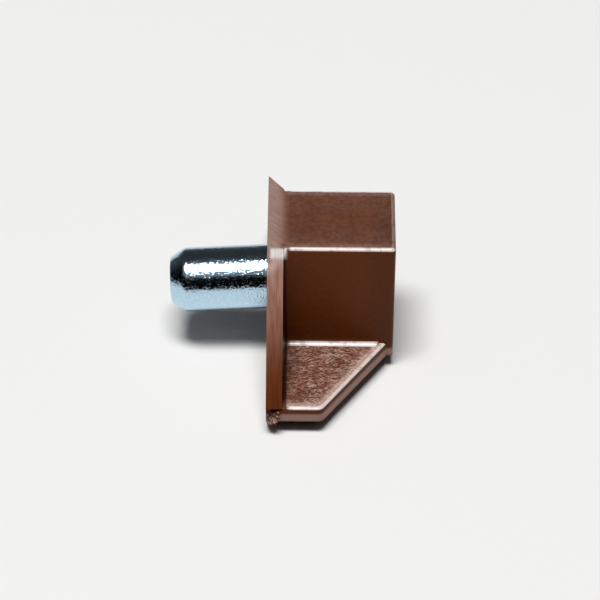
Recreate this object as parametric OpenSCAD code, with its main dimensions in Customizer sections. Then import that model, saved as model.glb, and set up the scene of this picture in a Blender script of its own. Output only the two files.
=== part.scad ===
// Plug-in shelf support: a moulded bracket on a plain steel pin.
// It lies on the face that carries the shelf, so in use it is turned over.
// X runs out from the cabinet side, Z up from the pin. The origin is on the
// pin's axis, where the pin leaves the back face. Millimetres.

/* [Pin] */
// Diameter of the pin
pin_d = 5; // [3:0.1:5.4]
// Length of the pin outside the bracket
pin_free = 7.5; // [4:0.1:14]
// Length of the pin held in the block
pin_seat = 8.4; // [4:0.1:8.6]
// Angle by which the pin's free end leans towards the shelf face
pin_cant = 4; // [0:0.2:6]
// Radius of the rounding at the pin's free end
tip_round = 1.25; // [1.1:0.05:1.5]
// Length of that rounding along the pin
tip_len = 1.1; // [0.3:0.05:1.1]
// Radial step down to the shank that the block holds
shank_step = 0.25; // [0.2:0.05:0.6]
// Length of full width that lies inside the back face
shoulder_in = 0.25; // [0.2:0.05:0.35]
// Radial clearance of the shank in its seat
seat_gap = 0.02; // [0.01:0.01:0.1]

/* [Block] */
// Width of the block that holds the pin
block_w = 7.2; // [6.4:0.1:10]
// Height of the block's top over the shelf face
block_h = 11.9; // [10.8:0.1:15]
// Depth of the bracket from the back face to the front
depth = 9.75; // [9.3:0.05:14]
// Height of the pin's axis over the shelf face, at the back face
pin_h = 6.15; // [5.8:0.05:7]
// Rounding of the block's front and top edges
block_round = 0.45; // [0.1:0.05:1]

/* [Shelf plate] */
// Width of the shelf plate
plate_w = 22.4; // [14:0.1:30]
// Thickness of the shelf plate
plate_t = 2.5; // [2.2:0.05:2.8]
// Straight length of the plate's sides, from the back face
flank = 4.25; // [2.5:0.05:6]
// Distance by which the block stands out in front of the clipped corners
clip_step = 0.5; // [0:0.05:1.5]
// Rounding of the plate's upper rim
rim_round = 0.5; // [0.1:0.05:0.8]
// Height of the slope that leads under the sides to the shelf face
sole_rise = 1.2; // [0.3:0.05:1.3]
// Distance by which that slope sets the shelf face back from the sides
sole_inset = 1.6; // [0.3:0.05:2]
// Fillet between the block and the plate
root_fillet = 0.5; // [0.1:0.05:0.8]

/* [Back plate] */
// Thickness of the back plate
back_t = 1.3; // [1:0.05:2.5]
// Distance by which the bevelled edge spreads at the back face
bevel = 0.95; // [0.2:0.05:1.5]
// Fillet between the bevel and the block's top
lip_fillet = 0.6; // [0.1:0.05:1.2]
// Depth of the recess around the pin in the back face
mouth_depth = 0.55; // [0.5:0.05:0.9]
// Radial gap between the pin and the edge of that recess
mouth_gap = 0.8; // [0.7:0.05:1]

/* [Gate stub] */
// Width of the torn gate stub
gate_w = 1; // [0.5:0.05:1.4]
// Height of the gate stub
gate_h = 1.4; // [0.4:0.05:1.5]
// Height of the gate stub's foot over the shelf face
gate_foot = 1.05; // [0:0.05:1.2]
// Distance by which the gate stub stands out of the plate's side
gate_out = 0.4; // [0.1:0.05:0.8]
// Distance of the gate stub from the back face
gate_inset = 0.1; // [0.05:0.05:0.5]

/* [Hidden] */
$fn = 64;
pin_r = pin_d / 2;
shank_r = pin_r - shank_step;
pin_len = pin_free + pin_seat;
wing = (plate_w - block_w) / 2;
clip_run = depth - clip_step - flank;
clip_len = norm([clip_run, wing]);
clip_angle = atan2(clip_run, wing);
clip_reach = (flank * wing + plate_w / 2 * clip_run) / clip_len;
lean = atan2(wing, block_h - plate_t);
bevel_angle = atan2(bevel, back_t);
back_foot = plate_t - rim_round / 2;
span = 2 * (plate_w + block_h + depth);

// A long bar from -span to reach, with its top far corner rounded
module rounded_bar(reach, height, r) {
    translate([-span, -span]) square([span + reach - r, span + height]);
    translate([-span, -span]) square([span + reach, span + height - r]);
    translate([reach - r, height - r]) circle(r);
}

// The same bar standing on the shelf face, with its lower far corner sloped
module sole_bar(reach) {
    polygon([
        [-span, 0],
        [reach - sole_inset, 0],
        [reach, sole_rise],
        [reach, span],
        [-span, span]
    ]);
}

// What lies within reach in the direction angle, with its upper rim rounded
module rim_slab(angle, reach, height, r) {
    rotate([0, 0, angle])
        rotate([90, 0, 0])
            linear_extrude(span, center = true) rounded_bar(reach, height, r);
}

// What lies within reach in the direction angle, with its lower rim sloped
module sole_slab(angle, reach) {
    rotate([0, 0, angle])
        rotate([90, 0, 0]) linear_extrude(span, center = true) sole_bar(reach);
}

// Everything up to a front corner rounded in plan
module plan_slab() {
    linear_extrude(block_h) {
        translate([-span, -block_w / 2]) square([span + depth - block_round, block_w]);
        translate([-span, block_round - block_w / 2])
            square([span + depth, block_w - 2 * block_round]);
        for (side = [-1, 1])
            translate([depth - block_round, side * (block_w / 2 - block_round)])
                circle(block_round);
    }
}

module block() {
    intersection() {
        translate([0, -block_w / 2, 0]) cube([depth, block_w, block_h]);
        plan_slab();
        sole_slab(90, block_w / 2);
        sole_slab(-90, block_w / 2);
        rim_slab(0, depth, block_h, block_round);
        rim_slab(90, block_w / 2, block_h, block_round);
        rim_slab(-90, block_w / 2, block_h, block_round);
    }
}

module shelf_plate() {
    intersection() {
        translate([0, -plate_w / 2, 0]) cube([depth, plate_w, plate_t]);
        rim_slab(90, plate_w / 2, plate_t, rim_round);
        rim_slab(-90, plate_w / 2, plate_t, rim_round);
        rim_slab(clip_angle, clip_reach, plate_t, rim_round);
        rim_slab(-clip_angle, clip_reach, plate_t, rim_round);
        sole_slab(90, plate_w / 2);
        sole_slab(-90, plate_w / 2);
        sole_slab(clip_angle, clip_reach);
        sole_slab(-clip_angle, clip_reach);
    }
}

// The part of space outside the bevelled edge on one side
module outside_bevel(side) {
    mirror([0, side < 0 ? 1 : 0, 0])
        translate([back_t, block_w / 2, block_h])
            rotate([lean, 0, 0])
                rotate([0, 0, -bevel_angle])
                    translate([-span / 2, 0, -span / 2]) cube(span);
}

// The part of space below the squared foot of that edge
module below_foot(side) {
    mirror([0, side < 0 ? 1 : 0, 0])
        translate([0, plate_w / 2, plate_t])
            rotate([lean, 0, 0])
                translate([-span / 2, -span / 2, -span]) cube(span);
}

module back_plate() {
    difference() {
        rotate([90, 0, 0])
            linear_extrude(plate_w + 4 * bevel, center = true)
                polygon([
                    [0, back_foot],
                    [back_t, back_foot],
                    [back_t, block_h],
                    [0, block_h + bevel]
                ]);
        outside_bevel(1);
        outside_bevel(-1);
        below_foot(1);
        below_foot(-1);
    }
}

// Fillet in the corner where the bevelled lip meets the block's top
module lip_root() {
    tangent = lip_fillet * tan(bevel_angle / 2);
    centre = [back_t + tangent, block_h + lip_fillet];
    foot = [back_t - tangent * cos(bevel_angle), block_h + tangent * sin(bevel_angle)];
    rotate([90, 0, 0])
        linear_extrude(block_w - 2 * block_round, center = true)
            difference() {
                polygon([[back_t, block_h], [centre[0], block_h], centre, foot]);
                translate(centre) circle(lip_fillet);
            }
}

// Fillet along the foot of one side of the block
module foot_fillet(side) {
    start = back_t / 2;
    mirror([0, side < 0 ? 1 : 0, 0])
        intersection() {
            translate([start, block_w / 2, plate_t])
                rotate([90, 0, 90])
                    linear_extrude(depth)
                        difference() {
                            square(root_fillet);
                            translate([root_fillet, root_fillet]) circle(root_fillet);
                        }
            rim_slab(clip_angle, clip_reach - rim_round, block_h, rim_round);
        }
}

module gate_stub() {
    translate([gate_inset + gate_w / 2, -plate_w / 2, gate_foot + gate_h / 2])
        rotate([90, 0, 0])
            linear_extrude(2 * gate_out, center = true)
                polygon([
                    [-gate_w / 2, -gate_h / 4],
                    [-gate_w / 4, -gate_h / 2],
                    [gate_w / 3, -gate_h / 2],
                    [gate_w / 2, gate_h / 5],
                    [gate_w / 6, gate_h / 2],
                    [-gate_w / 3, gate_h / 3]
                ]);
}

// Places its children on the pin's axis, z running towards the free end
module on_pin_axis() {
    translate([0, 0, pin_h]) rotate([0, -90 - pin_cant, 0]) children();
}

// The blind seat of the shank, and the recess around its mouth
module pin_seat_bore() {
    on_pin_axis()
        translate([0, 0, -pin_seat - seat_gap])
            cylinder(r = shank_r + seat_gap, h = pin_seat + pin_free);
    translate([mouth_depth - pin_free, 0, pin_h])
        rotate([0, 90, 0]) cylinder(r = pin_r + mouth_gap, h = pin_free);
}

// Half outline of the pin: a thinner shank, and a full width rounded over at its free end
module pin_outline() {
    full_from = pin_seat - shoulder_in;
    round_from = pin_len - tip_len;
    square([shank_r, round_from]);
    translate([0, full_from]) square([pin_r, round_from - full_from]);
    translate([0, round_from]) square([pin_r - tip_round, tip_len]);
    intersection() {
        translate([0, round_from]) square([pin_r, tip_len]);
        translate([pin_r - tip_round, round_from]) circle(tip_round);
    }
}

module bracket() {
    color([0.36, 0.16, 0.11])
        translate([0, 0, -pin_h])
            difference() {
                intersection() {
                    union() {
                        block();
                        shelf_plate();
                        back_plate();
                        lip_root();
                        foot_fillet(1);
                        foot_fillet(-1);
                        gate_stub();
                    }
                    sole_slab(0, depth);
                }
                pin_seat_bore();
            }
}

module steel_pin() {
    color([0.7, 0.74, 0.78])
        translate([0, 0, -pin_h])
            on_pin_axis()
                translate([0, 0, -pin_seat])
                    rotate_extrude() pin_outline();
}

bracket();
steel_pin();
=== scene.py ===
# Plug-in shelf support: a moulded brown bracket on a zinc-plated pin, on a pale table.
import math

import bpy
from mathutils import Matrix, Vector


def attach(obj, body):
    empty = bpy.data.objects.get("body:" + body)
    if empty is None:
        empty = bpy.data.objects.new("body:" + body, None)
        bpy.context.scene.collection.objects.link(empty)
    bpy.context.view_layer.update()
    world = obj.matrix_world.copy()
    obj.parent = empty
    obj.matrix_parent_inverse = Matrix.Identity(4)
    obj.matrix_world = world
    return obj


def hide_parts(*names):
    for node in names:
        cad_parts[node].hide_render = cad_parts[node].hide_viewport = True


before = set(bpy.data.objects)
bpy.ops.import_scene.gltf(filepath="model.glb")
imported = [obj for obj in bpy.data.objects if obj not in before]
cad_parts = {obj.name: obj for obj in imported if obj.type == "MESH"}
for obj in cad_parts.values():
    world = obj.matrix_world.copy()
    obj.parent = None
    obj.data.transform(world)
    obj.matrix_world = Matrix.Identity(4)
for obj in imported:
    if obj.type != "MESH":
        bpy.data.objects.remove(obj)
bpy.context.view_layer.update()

MM = 0.001

# Sizes of the support in millimetres, the same as in the part's source
PIN_R = 2.5
PIN_FREE = 7.5
PIN_SEAT = 8.4
PIN_CANT = 4.0
SHANK_STEP = 0.25
SHOULDER_IN = 0.25
SEAT_GAP = 0.02
PIN_H = 6.15
BLOCK_W = 7.2
BLOCK_H = 11.9
BLOCK_ROUND = 0.45
DEPTH = 9.75
PLATE_W = 22.4
PLATE_T = 2.5
FLANK = 4.25
CLIP_STEP = 0.5
RIM_ROUND = 0.5
SOLE_RISE = 1.2
SOLE_INSET = 1.6
ROOT_FILLET = 0.5
BEVEL = 0.95
GATE_FOOT = 1.05
GATE_OUT = 0.4
MOUTH_DEPTH = 0.55
MOUTH_GAP = 0.8

# Sizes that only the dressed part has, or that it takes a little finer, in millimetres and degrees
TIP_LEN = 1.12
TIP_DROP = 0.7
TIP_SHOULDER_ROUND = 0.22
TIP_END_ROUND = 0.1
BACK_T = 1.22
BACK_DRAFT = 2.0
LIP_FILLET = 1.6
CORNER_ROUND = 0.35
SQUARE_ROUND = 0.64
STUB_SIZE = (0.5, 0.56, 0.84)
STUB_LUMP = 0.34
STUB_TORN = 0.85
# How far a piece runs on into the next before they are joined
RUN_ON = 1.0

SOLE = -PIN_H
TOP = BLOCK_H - PIN_H
PLATE_TOP = PLATE_T - PIN_H
HALF_W = PLATE_W / 2
HALF_B = BLOCK_W / 2
WING = HALF_W - HALF_B
CLIP_RUN = DEPTH - CLIP_STEP - FLANK
CLIP_NORMAL = Vector((WING, CLIP_RUN, 0)).normalized()
CLIP_REACH = CLIP_NORMAL.x * FLANK + CLIP_NORMAL.y * HALF_W
BEVEL_SLOPE = math.atan2(BEVEL, BACK_T)
PIN_AWAY = Vector((-math.cos(math.radians(PIN_CANT)), 0, -math.sin(math.radians(PIN_CANT))))


# ---------------------------------------------------------------- modelling helpers

def deselect_all():
    if bpy.context.object and bpy.context.object.mode != "OBJECT":
        bpy.ops.object.mode_set(mode="OBJECT")
    bpy.ops.object.select_all(action="DESELECT")


def take(piece):
    """Make one piece the only selected and active object."""
    deselect_all()
    piece.select_set(True)
    bpy.context.view_layer.objects.active = piece


def settle(piece):
    """Put the piece's place into its mesh."""
    take(piece)
    bpy.ops.object.transform_apply(location=True, rotation=True, scale=True)


def cuboid(name, low, high):
    """A box between two corners given in millimetres."""
    deselect_all()
    middle = [(a + b) / 2 * MM for a, b in zip(low, high)]
    extent = [(b - a) * MM for a, b in zip(low, high)]
    bpy.ops.mesh.primitive_cube_add(size=1, location=middle, scale=extent)
    piece = bpy.context.object
    piece.name = name
    settle(piece)
    return piece


def rod(name, radius, start, end, sides=96):
    """A cylinder between two points given in millimetres."""
    deselect_all()
    a, b = Vector(start) * MM, Vector(end) * MM
    turn = (b - a).to_track_quat("Z", "Y").to_euler()
    bpy.ops.mesh.primitive_cylinder_add(
        vertices=sides, radius=radius * MM, depth=(b - a).length, location=(a + b) / 2, rotation=turn
    )
    piece = bpy.context.object
    piece.name = name
    settle(piece)
    return piece


def select_edges(piece, wanted):
    """Select the edges whose two ends, in millimetres, pass the test."""
    take(piece)
    mesh = piece.data
    bpy.ops.object.mode_set(mode="EDIT")
    bpy.ops.mesh.select_mode(type="EDGE")
    bpy.ops.mesh.select_all(action="DESELECT")
    bpy.ops.object.mode_set(mode="OBJECT")
    for edge in mesh.edges:
        a, b = (mesh.vertices[i].co / MM for i in edge.vertices)
        edge.select = bool(wanted(a, b))
    bpy.ops.object.mode_set(mode="EDIT")


def select_faces(piece, wanted):
    """Select the faces whose centre, in millimetres, and normal pass the test."""
    take(piece)
    mesh = piece.data
    bpy.ops.object.mode_set(mode="EDIT")
    bpy.ops.mesh.select_mode(type="FACE")
    bpy.ops.mesh.select_all(action="DESELECT")
    bpy.ops.object.mode_set(mode="OBJECT")
    for face in mesh.polygons:
        face.select = bool(wanted(face.center / MM, face.normal))
    bpy.ops.object.mode_set(mode="EDIT")


def round_edges(piece, wanted, width, segments=8, profile=0.5):
    select_edges(piece, wanted)
    bpy.ops.mesh.bevel(
        offset=width * MM, segments=segments, profile=profile, affect="EDGES", clamp_overlap=False
    )
    bpy.ops.object.mode_set(mode="OBJECT")


def slice_off(piece, point, normal):
    """Cut away what lies beyond a plane, and close the cut."""
    take(piece)
    bpy.ops.object.mode_set(mode="EDIT")
    bpy.ops.mesh.select_all(action="SELECT")
    bpy.ops.mesh.bisect(
        plane_co=Vector(point) * MM, plane_no=normal, use_fill=True, clear_outer=True, threshold=1e-7
    )
    bpy.ops.object.mode_set(mode="OBJECT")


def combine(piece, other, operation):
    """Join, cut or intersect a piece with another, which is used up."""
    take(piece)
    step = piece.modifiers.new("combine", "BOOLEAN")
    step.operation = operation
    step.solver = "EXACT"
    step.object = other
    bpy.ops.object.modifier_apply(modifier=step.name)
    bpy.data.objects.remove(other, do_unlink=True)


def near(a, b, gap=1e-3):
    return abs(a - b) < gap


# ---------------------------------------------------------------- the bracket

def clip_corners(piece, inward=0.0):
    """Cut off both front corners, along the line from the flank to the block."""
    for side in (-1, 1):
        normal = Vector((CLIP_NORMAL.x, side * CLIP_NORMAL.y, 0))
        corner = Vector((FLANK, side * HALF_W, 0)) - normal * inward
        slice_off(piece, corner, normal)


def slope_sole(piece, directions):
    """Slope the lower edges of a piece in to the shelf face. A direction is a unit normal and its reach."""
    for normal, reach in directions:
        tilt = Vector((normal[0] * SOLE_RISE, normal[1] * SOLE_RISE, -SOLE_INSET)).normalized()
        slice_off(piece, (normal[0] * reach, normal[1] * reach, SOLE + SOLE_RISE), tilt)


def make_block():
    """The upright block that holds the pin, with its outer edges rounded."""
    block = cuboid("block", (-RUN_ON, -HALF_B, SOLE - RUN_ON), (DEPTH, HALF_B, TOP))

    def is_outer(a, b):
        front = near(a.x, DEPTH) and near(b.x, DEPTH)
        high = near(a.z, TOP) and near(b.z, TOP)
        side = near(abs(a.y), HALF_B) and near(a.y, b.y)
        return (front and (side or high)) or (high and side)

    round_edges(block, is_outer, BLOCK_ROUND, 8, SQUARE_ROUND)
    slope_sole(block, [((0, 1), HALF_B), ((0, -1), HALF_B)])
    return block


def make_plate():
    """The shelf plate, with its front corners clipped and its rim rounded."""
    behind = -1.5 * RUN_ON
    plate = cuboid("plate", (behind, -HALF_W, SOLE - RUN_ON / 2), (DEPTH - CLIP_STEP / 2, HALF_W, PLATE_TOP))
    clip_corners(plate)

    def is_corner(a, b):
        return near(a.x, FLANK) and near(b.x, FLANK) and near(a.y, b.y)

    def on_rim(a, b):
        level = near(a.z, PLATE_TOP) and near(b.z, PLATE_TOP)
        back = near(a.x, behind) and near(b.x, behind)
        return level and not back

    round_edges(plate, is_corner, CORNER_ROUND, 5)
    round_edges(plate, on_rim, RIM_ROUND, 8, SQUARE_ROUND)
    slope_sole(plate, [
        ((0, 1), HALF_W), ((0, -1), HALF_W),
        ((CLIP_NORMAL.x, CLIP_NORMAL.y), CLIP_REACH), ((CLIP_NORMAL.x, -CLIP_NORMAL.y), CLIP_REACH),
    ])
    return plate


def make_back_plate():
    """The trapezoidal back plate, with a bevelled edge that ends square to its slope."""
    low = PLATE_TOP - RIM_ROUND / 2
    wide = HALF_W + 3 * BEVEL
    plate = cuboid("back plate", (-RUN_ON / 2, -wide, low), (BACK_T + RUN_ON, wide, TOP + 2 * RUN_ON))
    slice_off(plate, (BACK_T, 0, TOP), (math.sin(BEVEL_SLOPE), 0, math.cos(BEVEL_SLOPE)))
    lean = math.atan2(WING, TOP - PLATE_TOP)
    draft = math.radians(BACK_DRAFT)
    for side in (-1, 1):
        outward = Vector((0, side * math.cos(lean), math.sin(lean)))
        bevel_normal = Vector((math.sin(BEVEL_SLOPE), 0, 0)) + outward * math.cos(BEVEL_SLOPE)
        slice_off(plate, (BACK_T, side * HALF_B, TOP), bevel_normal)
        face_normal = Vector((math.cos(draft), 0, 0)) + outward * math.sin(draft)
        slice_off(plate, (BACK_T, side * HALF_B, TOP), face_normal)
        foot_normal = Vector((0, side * math.sin(lean), -math.cos(lean)))
        slice_off(plate, (BACK_T, side * HALF_W, PLATE_TOP), foot_normal)
    return plate


def make_foot_fillet(side):
    """Concave fillet where one side of the block meets the plate."""
    sunk = 0.3
    within, far, centre = HALF_B - sunk, HALF_B + ROOT_FILLET, PLATE_TOP + ROOT_FILLET
    low = (BACK_T / 2, min(side * within, side * far), PLATE_TOP - sunk)
    high = (DEPTH, max(side * within, side * far), centre)
    fillet = cuboid("foot fillet", low, high)
    ends = [(x, side * far, centre) for x in (-RUN_ON, DEPTH + RUN_ON)]
    combine(fillet, rod("fillet hollow", ROOT_FILLET, *ends, 40), "DIFFERENCE")
    clip_corners(fillet, RIM_ROUND)
    return fillet


def make_lip_root():
    """Concave fillet where the bevelled lip meets the block's top."""
    sunk = 0.3
    tangent = LIP_FILLET * math.tan(BEVEL_SLOPE / 2)
    half = HALF_B - BLOCK_ROUND
    root = cuboid(
        "lip root",
        (BACK_T - tangent * math.cos(BEVEL_SLOPE), -half, TOP - sunk),
        (BACK_T + tangent, half, TOP + tangent * math.sin(BEVEL_SLOPE)),
    )
    slice_off(root, (BACK_T, 0, TOP - sunk / 2), (-math.sin(BEVEL_SLOPE), 0, -math.cos(BEVEL_SLOPE)))
    ends = [(BACK_T + tangent, y, TOP + LIP_FILLET) for y in (-HALF_B - RUN_ON, HALF_B + RUN_ON)]
    combine(root, rod("lip hollow", LIP_FILLET, *ends), "DIFFERENCE")
    return root


def make_gate_stub():
    """The torn stub of the gate, low on one back corner."""
    out, sunk, rise, trim = 0.62, 0.05, 0.65, 0.01
    deselect_all()
    bpy.ops.mesh.primitive_ico_sphere_add(
        subdivisions=4, radius=1 * MM,
        location=(out * MM, -(HALF_W - sunk) * MM, (SOLE + GATE_FOOT + rise) * MM),
        scale=STUB_SIZE,
    )
    stub = bpy.context.object
    stub.name = "gate stub"
    settle(stub)
    lumps = bpy.data.textures.new("torn plastic", "CLOUDS")
    lumps.noise_scale = STUB_LUMP * MM
    lumps.noise_depth = 3
    step = stub.modifiers.new("torn", "DISPLACE")
    step.texture = lumps
    step.texture_coords = "LOCAL"
    step.strength = STUB_TORN * MM
    step.mid_level = 0.58
    bpy.ops.object.modifier_apply(modifier=step.name)
    slice_off(stub, (2 * trim, 0, 0), (-1, 0, 0))
    slice_off(stub, (0, -HALF_W - GATE_OUT + trim, 0), (0, -1, 0))
    return stub


def make_bracket():
    """The block, the plates and the fillets in one, with the hole for the pin cut last."""
    bracket = make_block()
    for other in (make_plate(), make_back_plate(), make_foot_fillet(1), make_foot_fillet(-1),
                  make_lip_root(), make_gate_stub()):
        combine(bracket, other, "UNION")
    slope_sole(bracket, [((1, 0), DEPTH)])
    slice_off(bracket, (0, 0, SOLE), (0, 0, -1))
    slice_off(bracket, (0, 0, 0), (-1, 0, 0))
    seat = rod("seat", PIN_R - SHANK_STEP + SEAT_GAP, -PIN_AWAY * (PIN_SEAT + SEAT_GAP), PIN_AWAY * PIN_FREE)
    combine(bracket, seat, "DIFFERENCE")
    mouth = rod("mouth", PIN_R + MOUTH_GAP, (MOUTH_DEPTH, 0, 0), (-RUN_ON, 0, 0))
    combine(bracket, mouth, "DIFFERENCE")
    bracket.name = "moulded_bracket"
    return bracket


def finish_shading(piece, angle):
    """Merge doubles, point the faces outward, and smooth the edges blunter than the angle."""
    take(piece)
    bpy.ops.object.mode_set(mode="EDIT")
    bpy.ops.mesh.select_all(action="SELECT")
    bpy.ops.mesh.remove_doubles(threshold=1e-7)
    bpy.ops.mesh.normals_make_consistent(inside=False)
    bpy.ops.object.mode_set(mode="OBJECT")
    bpy.ops.object.shade_smooth_by_angle(angle=math.radians(angle))
    step = piece.modifiers.new("weighted", "WEIGHTED_NORMAL")
    step.mode = "FACE_AREA"
    step.weight = 60
    step.keep_sharp = True
    bpy.ops.object.modifier_apply(modifier=step.name)


# ---------------------------------------------------------------- the pin

def make_pin():
    """The plated pin: a rounded, slightly conical end, and a thinner shank inside the block."""
    pin = rod("plated_pin", PIN_R, -PIN_AWAY * SHOULDER_IN, PIN_AWAY * (PIN_FREE - TIP_LEN), 128)

    def stands_at(point, reach):
        return near(point.dot(PIN_AWAY), reach, 0.01)

    def ring_at(reach):
        return lambda a, b: stands_at(a, reach) and stands_at(b, reach)

    select_faces(pin, lambda centre, normal: stands_at(centre, PIN_FREE - TIP_LEN))
    bpy.ops.mesh.inset(thickness=TIP_DROP * MM, depth=TIP_LEN * MM)
    bpy.ops.object.mode_set(mode="OBJECT")
    round_edges(pin, ring_at(PIN_FREE - TIP_LEN), TIP_SHOULDER_ROUND, 4)
    round_edges(pin, ring_at(PIN_FREE), TIP_END_ROUND, 3)
    select_faces(pin, lambda centre, normal: stands_at(centre, -SHOULDER_IN))
    bpy.ops.mesh.inset(thickness=SHANK_STEP * MM)
    bpy.ops.mesh.extrude_region_move(
        TRANSFORM_OT_translate={"value": -PIN_AWAY * (PIN_SEAT - SHOULDER_IN) * MM}
    )
    bpy.ops.object.mode_set(mode="OBJECT")
    return pin


# ---------------------------------------------------------------- materials

# Colours as linear red, green, blue and alpha
BROWN = (0.132, 0.030, 0.004, 1)
# The dark end of the plastic's tone: random darker blotches and painted shade
DARK_BROWN_AND_SHADE = (0.02, 0.004, 0.001, 1)
# Painted light: a lighter warm brown towards the top of the bevels
LIT_WARM_BROWN = (0.34, 0.10, 0.045, 1)
# Pale haze: partly handling marks, partly painted sheen and painted reflection
HAZE_AND_SHEEN = (0.60, 0.41, 0.35, 1)
# Edge wear and painted highlights on the long edges and rims
WORN_EDGE_AND_HIGHLIGHT = (0.80, 0.70, 0.67, 1)
# Painted highlight on the corner where the bevels meet
CORNER_HIGHLIGHT = (0.96, 0.90, 0.87, 1)
ZINC_DULL = (0.48, 0.66, 0.79, 1)
ZINC_BRIGHT = (0.56, 0.75, 0.88, 1)
TABLE_WHITE = (0.86, 0.86, 0.85, 1)
WORLD_WHITE = (0.86, 0.87, 0.87, 1)


def feed(tree, socket, value):
    """Give a socket a number or a link."""
    if isinstance(value, bpy.types.NodeSocket):
        tree.links.new(value, socket)
    else:
        socket.default_value = value


def calc(tree, operation, *values):
    node = tree.nodes.new("ShaderNodeMath")
    node.operation = operation
    for socket, value in zip(node.inputs, values):
        feed(tree, socket, value)
    return node.outputs[0]


def product(tree, *values):
    result = values[0]
    for value in values[1:]:
        result = calc(tree, "MULTIPLY", result, value)
    return result


def total(tree, *values):
    result = values[0]
    for value in values[1:]:
        result = calc(tree, "ADD", result, value)
    return result


def ramp(tree, value, start, end, low=0.0, high=1.0):
    """A smooth step from low at start to high at end."""
    node = tree.nodes.new("ShaderNodeMapRange")
    node.interpolation_type = "SMOOTHSTEP"
    for name, number in (("Value", value), ("From Min", start), ("From Max", end),
                         ("To Min", low), ("To Max", high)):
        feed(tree, node.inputs[name], number)
    return node.outputs["Result"]


def band(tree, value, a, b, c, d):
    """One between b and c, falling to nothing at a and d."""
    return calc(tree, "MULTIPLY", ramp(tree, value, a, b), ramp(tree, value, d, c))


def stretch(tree, vector, factors):
    node = tree.nodes.new("ShaderNodeVectorMath")
    node.operation = "MULTIPLY"
    feed(tree, node.inputs[0], vector)
    feed(tree, node.inputs[1], factors)
    return node.outputs[0]


def noise(tree, vector, scale, detail=2.0, distortion=0.0):
    node = tree.nodes.new("ShaderNodeTexNoise")
    feed(tree, node.inputs["Vector"], vector)
    node.inputs["Scale"].default_value = scale
    node.inputs["Detail"].default_value = detail
    node.inputs["Distortion"].default_value = distortion
    return node.outputs["Fac"]


def largest(tree, first, *others):
    for other in others:
        first = calc(tree, "MAXIMUM", first, other)
    return first


def split(tree, vector):
    node = tree.nodes.new("ShaderNodeSeparateXYZ")
    feed(tree, node.inputs[0], vector)
    return node.outputs


def blend(tree, factor, first, second):
    node = tree.nodes.new("ShaderNodeMix")
    node.data_type = "RGBA"
    feed(tree, node.inputs[0], factor)
    feed(tree, node.inputs[6], first)
    feed(tree, node.inputs[7], second)
    return node.outputs[2]


def raise_bump(tree, shader, height, strength, distance):
    bump = tree.nodes.new("ShaderNodeBump")
    bump.inputs["Strength"].default_value = strength
    bump.inputs["Distance"].default_value = distance * MM
    feed(tree, bump.inputs["Height"], height)
    tree.links.new(bump.outputs["Normal"], shader.inputs["Normal"])


def new_material(name):
    """A material, its tree and shader, the place in millimetres, and the normal."""
    material = bpy.data.materials.new(name)
    material.use_nodes = True
    tree = material.node_tree
    place = tree.nodes.new("ShaderNodeTexCoord")
    spot = stretch(tree, place.outputs["Object"], (1 / MM, 1 / MM, 1 / MM))
    return material, tree, tree.nodes["Principled BSDF"], spot, place.outputs["Normal"]


def give(piece, material):
    """Make this the piece's only material."""
    piece.data.materials.clear()
    piece.data.materials.append(material)


class Places:
    """Where a point of the bracket lies and how it faces, as the masks that its marks follow."""

    def __init__(self, tree, spot, normal):
        self.x, y, self.z = split(tree, spot)
        self.lean_x, lean_y, self.lean_z = split(tree, normal)
        self.across = calc(tree, "ABSOLUTE", y)
        self.sideways = calc(tree, "ABSOLUTE", lean_y)
        self.level = ramp(tree, self.lean_z, 0.93, 0.985)
        self.high = ramp(tree, self.z, TOP - 1.2, TOP - 0.5)
        self.streaks = noise(tree, stretch(tree, spot, (7.0, 0.5, 0.5)), 1.0)
        self.bevelled = product(tree, band(tree, self.lean_z, 0.38, 0.45, 0.55, 0.62),
                                ramp(tree, self.lean_x, 0.45, 0.55), ramp(tree, self.z, TOP - 0.1, TOP - 0.5))
        self.to_side = calc(tree, "SUBTRACT", HALF_W, self.across)
        self.to_clip = calc(tree, "SUBTRACT", CLIP_REACH, total(
            tree, product(tree, self.x, CLIP_NORMAL.x), product(tree, self.across, CLIP_NORMAL.y)))


def lip_haze_and_sheen(tree, spot, at):
    """Combed haze and painted sheen on the bevel over the block."""
    comb = noise(tree, stretch(tree, spot, (0.9, 7.0, 0.9)), 1.0)
    return product(tree, at.high, ramp(tree, at.x, 1.75, 0.55), ramp(tree, comb, 0.3, 0.7, 0.48, 0.68))


def strip_haze_and_sheen(tree, at):
    """Streaked haze on the bevel beside the block, with painted sheen that makes it stronger towards its top.
    """
    return product(tree, at.bevelled, ramp(tree, at.z, PLATE_TOP + 1.5, TOP + 0.5, 0.0, 0.5),
                   ramp(tree, at.streaks, 0.3, 0.7, 0.55, 1.3))


def fine_scuffs(tree, spot):
    """Short curled scuffs, mostly along the wing's width."""
    curls = noise(tree, stretch(tree, spot, (2.1, 4.6, 2.0)), 1.0, 2.5, 0.6)
    return ramp(tree, calc(tree, "ABSOLUTE", calc(tree, "SUBTRACT", curls, 0.5)), 0.085, 0.0)


def wing_scuffs_and_sheen(tree, spot, at, scuffs):
    """Scuffs and a faint painted sheen on the wings' tops, and a painted highlight along their rims."""
    low = ramp(tree, at.z, PLATE_TOP + 0.8, PLATE_TOP + 0.2)
    patches = product(tree, ramp(tree, noise(tree, spot, 1.3, 2.0), 0.35, 0.6, 0.35, 1.0),
                      ramp(tree, at.x, 1.5, 4.0, 0.7, 1.1))
    inside = calc(tree, "MINIMUM", at.to_side, at.to_clip)
    # Painted highlight, paler close to the rims
    painted_rim_highlight = total(tree, ramp(tree, inside, 1.3, 0.6, 0.0, 0.14), ramp(tree, inside, 0.8, 0.5, 0.0, 0.4))
    # A faint painted sheen over the whole of the wings' tops
    return product(tree, at.level, low, total(tree, 0.045, painted_rim_highlight, product(tree, scuffs, patches, 0.63)))


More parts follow.
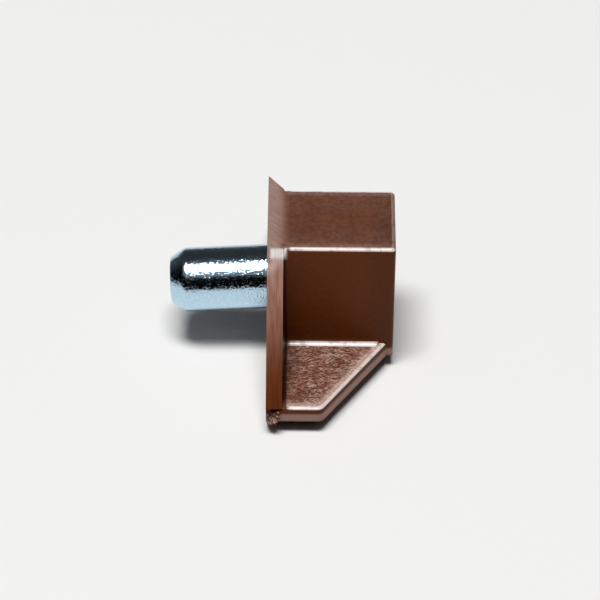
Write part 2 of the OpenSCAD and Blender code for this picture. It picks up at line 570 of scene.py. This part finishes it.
def block_top_haze_and_sheen(tree, spot, at):
    """Mottled haze and painted sheen on the block's top, the painted sheen stronger towards its long edges.
    """
    mottle = ramp(tree, noise(tree, spot, 3.2, 5.0), 0.3, 0.7, 0.7, 1.35)
    # Painted sheen, rising towards the long edges
    sheen_towards_edges = total(tree, ramp(tree, at.across, 0.0, HALF_B, 0.068, 0.1),
                     ramp(tree, at.across, HALF_B - 0.9, HALF_B - 0.45, 0.0, 0.12))
    flat = ramp(tree, at.lean_z, 0.8, 0.95)
    return product(tree, flat, at.high, ramp(tree, at.x, 1.2, 1.6), sheen_towards_edges, mottle)


def rim_haze_and_table_reflection(tree, at):
    """Even pale band along the upright edge of the plate: haze and a painted reflection of the table."""
    edge = band(tree, at.z, SOLE + 1.15, SOLE + 1.4, SOLE + 1.8, SOLE + 2.1)
    return product(tree, ramp(tree, at.lean_z, 0.2, 0.05), edge, 0.42)


def torn_haze(tree, spot, at):
    """Pale grains on the torn stub of the gate."""
    grains = ramp(tree, noise(tree, spot, 4.0, 2.0), 0.42, 0.6, 0.02, 0.5)
    return product(tree, ramp(tree, at.to_side, -0.02, -0.12), ramp(tree, at.x, 1.5, 1.3),
                   ramp(tree, at.z, PLATE_TOP - 0.1, PLATE_TOP - 0.3), grains)


def painted_corner_highlight(tree, at):
    """Painted highlight on the corner where the two bevels meet."""
    turn = 0.61
    past_corner = calc(tree, "SUBTRACT", at.across,
                       total(tree, HALF_B + turn * BACK_T, product(tree, at.x, -turn)))
    return product(tree, band(tree, past_corner, -0.15, 0.05, 0.3, 0.6), at.high,
                   band(tree, at.x, 0.1, 0.35, 1.3, 1.6), ramp(tree, at.streaks, 0.3, 0.6, 0.8, 1.0))


def edge_wear_and_highlight(tree, spot, at):
    """Bright wear and painted highlights on the block's long edges and along the wings' rims, strongest on
    edges that face sideways.
    """
    on_top = product(tree, at.high, band(tree, at.lean_z, 0.32, 0.52, 0.985, 0.997))
    below = product(tree, ramp(tree, at.z, TOP - 0.5, TOP - 1.2),
                    band(tree, at.lean_z, 0.48, 0.66, 0.985, 0.997))
    # Painted highlight: strongest on edges that face sideways
    return product(tree, total(tree, on_top, below), ramp(tree, at.x, 1.5, 1.9),
                   ramp(tree, at.sideways, 0.05, 0.2, 0.2, 1.0),
                   ramp(tree, noise(tree, spot, 1.6, 3.0), 0.32, 0.5, 0.6, 0.95))


def seam_shade(tree, at):
    """Dark in the seam in front of the back plate, and one elsewhere."""
    widening = 0.6 * math.tan(math.radians(BACK_DRAFT))
    past_back = total(tree, at.x, product(tree, at.z, widening), -BACK_T - TOP * widening)
    return largest(tree, ramp(tree, past_back, 0.06, 0.2, 0.12, 1.0), ramp(tree, at.bevelled, 0.0, 0.4),
                   ramp(tree, at.z, TOP - 1.2, TOP - 0.6),
                   ramp(tree, at.z, PLATE_TOP - 0.02, PLATE_TOP - 0.08),
                   ramp(tree, at.lean_x, -0.3, -0.6))


def body_tone(tree, spot, at, top_haze_and_sheen):
    """How light the bare plastic is, from dark brown at nought to brown at one: random blotches, streaks and
    grit, with painted shade at the foot of the block's sides, towards its front and on faces that look down.
    """
    # Painted shade, darker towards the foot of the block's sides
    foot_shade = largest(tree, ramp(tree, at.z, PLATE_TOP + 0.1, TOP - 4.0, 0.8, 1.0),
                   ramp(tree, at.sideways, 0.9, 0.6))
    blotch = largest(tree, ramp(tree, noise(tree, spot, 0.5, 3.0), 0.35, 0.65, 0.68, 1.0),
                     ramp(tree, at.level, 0.9, 0.5))
    line = largest(tree, ramp(tree, at.streaks, 0.35, 0.6, 0.7, 1.0), ramp(tree, at.bevelled, 0.9, 0.5))
    grit = ramp(tree, noise(tree, spot, 6.0, 2.0), 0.3, 0.7, 0.8, 1.0)
    # Painted shade, darker towards the block's front
    front = ramp(tree, at.x, DEPTH - 3.0, DEPTH - 0.6, 1.0, 0.78)
    # Darker bare brown under the painted sheen on the block's top
    under_top_sheen = ramp(tree, top_haze_and_sheen, 0.0, 0.03, 1.0, 0.8)
    # Painted shade on faces that look down
    underside_shade = ramp(tree, at.lean_z, -0.3, -0.05, 0.2, 1.0)
    return product(tree, foot_shade, underside_shade, blotch, line, grit, front, under_top_sheen)


def brown_plastic():
    """Dark red-brown plastic, with pale haze and scuffs that handling left on it, and painted sheen,
    highlights, reflection and shade.
    """
    material, tree, shader, spot, normal = new_material("brown moulded plastic")
    at = Places(tree, spot, normal)
    scuffs = fine_scuffs(tree, spot)
    seam = seam_shade(tree, at)
    # Painted highlight on the corner of the bevels
    corner = painted_corner_highlight(tree, at)
    wear_and_highlight = largest(tree, edge_wear_and_highlight(tree, spot, at), corner)
    top_haze_and_sheen = block_top_haze_and_sheen(tree, spot, at)
    haze_and_sheen = total(tree, lip_haze_and_sheen(tree, spot, at), strip_haze_and_sheen(tree, at), wing_scuffs_and_sheen(tree, spot, at, scuffs),
                 top_haze_and_sheen, rim_haze_and_table_reflection(tree, at), torn_haze(tree, spot, at))
    haze_and_sheen = product(tree, haze_and_sheen, ramp(tree, at.lean_x, -0.6, -0.3), seam)

    tone = product(tree, body_tone(tree, spot, at, top_haze_and_sheen), seam)
    # Painted light, warmer and lighter towards the top of the bevels
    painted_bevel_light = product(tree, at.bevelled, ramp(tree, at.z, PLATE_TOP, TOP, 0.05, 0.7))
    colour = blend(tree, painted_bevel_light, blend(tree, tone, DARK_BROWN_AND_SHADE, BROWN), LIT_WARM_BROWN)
    # Pale haze from handling, mixed with painted sheen and painted reflection
    colour = blend(tree, haze_and_sheen, colour, HAZE_AND_SHEEN)
    # Edge wear and painted highlights
    colour = blend(tree, wear_and_highlight, colour, blend(tree, corner, WORN_EDGE_AND_HIGHLIGHT, CORNER_HIGHLIGHT))
    feed(tree, shader.inputs["Base Color"], colour)
    feed(tree, shader.inputs["Coat Weight"], wear_and_highlight)
    shader.inputs["Coat Roughness"].default_value = 0.25
    shader.inputs["Roughness"].default_value = 0.36
    shader.inputs["IOR"].default_value = 1.5
    shader.inputs["Specular IOR Level"].default_value = 0.1
    relief = total(tree, noise(tree, spot, 3.0, 3.0), product(tree, scuffs, 0.5))
    raise_bump(tree, shader, relief, 0.3, 0.03)
    return material


def zinc_plate():
    """Bright bluish zinc with the fine grain of barrel plating."""
    material, tree, shader, spot, _ = new_material("bright zinc plate")
    grain = ramp(tree, noise(tree, spot, 6.5, 2.0), 0.46, 0.76)
    cloud = noise(tree, spot, 1.1, 2.0)
    feed(tree, shader.inputs["Base Color"], blend(tree, ramp(tree, grain, 0.0, 0.5), ZINC_DULL, ZINC_BRIGHT))
    shader.inputs["Metallic"].default_value = 1
    feed(tree, shader.inputs["Roughness"], ramp(tree, cloud, 0.3, 0.7, 0.1, 0.14))
    raise_bump(tree, shader, grain, 1.0, 0.009)
    return material


# ---------------------------------------------------------------- the pieces

bracket = make_bracket()
finish_shading(bracket, 28)
give(bracket, brown_plastic())
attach(bracket, "root")
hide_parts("bracket")

pin = make_pin()
finish_shading(pin, 14)
give(pin, zinc_plate())
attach(pin, "root")
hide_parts("steel_pin")


# ---------------------------------------------------------------- table, lights and camera

def make_table():
    deselect_all()
    bpy.ops.mesh.primitive_plane_add(size=6, location=(0, 0, SOLE * MM))
    table = bpy.context.object
    table.name = "table"
    material, tree, shader, spot, _ = new_material("white table")
    shader.inputs["Base Color"].default_value = TABLE_WHITE
    shader.inputs["Roughness"].default_value = 0.9
    shader.inputs["Specular IOR Level"].default_value = 0.2
    give(table, material)


def make_room():
    """The dim room round the table, darkest in front, where the metal's dark bands come from."""
    deselect_all()
    bpy.ops.mesh.primitive_uv_sphere_add(segments=48, ring_count=24, radius=2.6, location=(0, 0, 0))
    room = bpy.context.object
    room.name = "room"
    material, tree, shader, spot, _ = new_material("dim room")
    shader.inputs["Roughness"].default_value = 1
    shader.inputs["Specular IOR Level"].default_value = 0
    backward = split(tree, spot)[1]
    feed(tree, shader.inputs["Base Color"], ramp(tree, backward, -200.0, 1400.0, 0.003, 0.3))
    give(room, material)


def make_world():
    world = bpy.data.worlds.new("pale room")
    bpy.context.scene.world = world
    world.use_nodes = True
    background = world.node_tree.nodes["Background"]
    background.inputs["Color"].default_value = WORLD_WHITE
    background.inputs["Strength"].default_value = 1


def soft_light(name, width, length, position, power):
    """A soft rectangular lamp, in metres and watts, that faces the part."""
    data = bpy.data.lights.new(name, "AREA")
    data.shape = "RECTANGLE"
    data.size, data.size_y = width, length
    data.energy = power
    lamp = bpy.data.objects.new(name, data)
    lamp.location = position
    lamp.rotation_euler = Vector(position).to_track_quat("Z", "Y").to_euler()
    bpy.context.collection.objects.link(lamp)


CEILING = 1.2
LAMP_LEAN = math.radians(11.5)

make_table()
make_room()
soft_light("ceiling light", 0.55, 0.26,
           (-0.09, -CEILING * math.sin(LAMP_LEAN), CEILING * math.cos(LAMP_LEAN)), 14.4)
soft_light("lit ceiling", 2.0, 1.2, (-0.1, -0.38, CEILING), 1.9)
make_world()


def make_camera():
    """A long lens that looks down at the part from its side."""
    azimuth, elevation, roll = (math.radians(a) for a in (0.1, 41.0, 0.48))
    aim = Vector((2.50, 0, 2.51 + 1.2 - PIN_H)) * MM
    distance = 252.35
    back = Vector((math.sin(azimuth) * math.cos(elevation), -math.cos(azimuth) * math.cos(elevation),
                   math.sin(elevation)))
    right = Vector((math.cos(azimuth), math.sin(azimuth), 0))
    up = back.cross(right)
    turned_right = right * math.cos(roll) + up * math.sin(roll)
    turned_up = up * math.cos(roll) - right * math.sin(roll)
    data = bpy.data.cameras.new("camera")
    data.sensor_width = 36
    data.lens = 193.9
    data.clip_start = 0.01
    camera = bpy.data.objects.new("camera", data)
    place = Matrix((turned_right, turned_up, back)).transposed().to_4x4()
    place.translation = aim + back * distance * MM
    camera.matrix_world = place
    bpy.context.collection.objects.link(camera)
    bpy.context.scene.camera = camera


make_camera()
bpy.context.scene.view_settings.view_transform = "Standard"
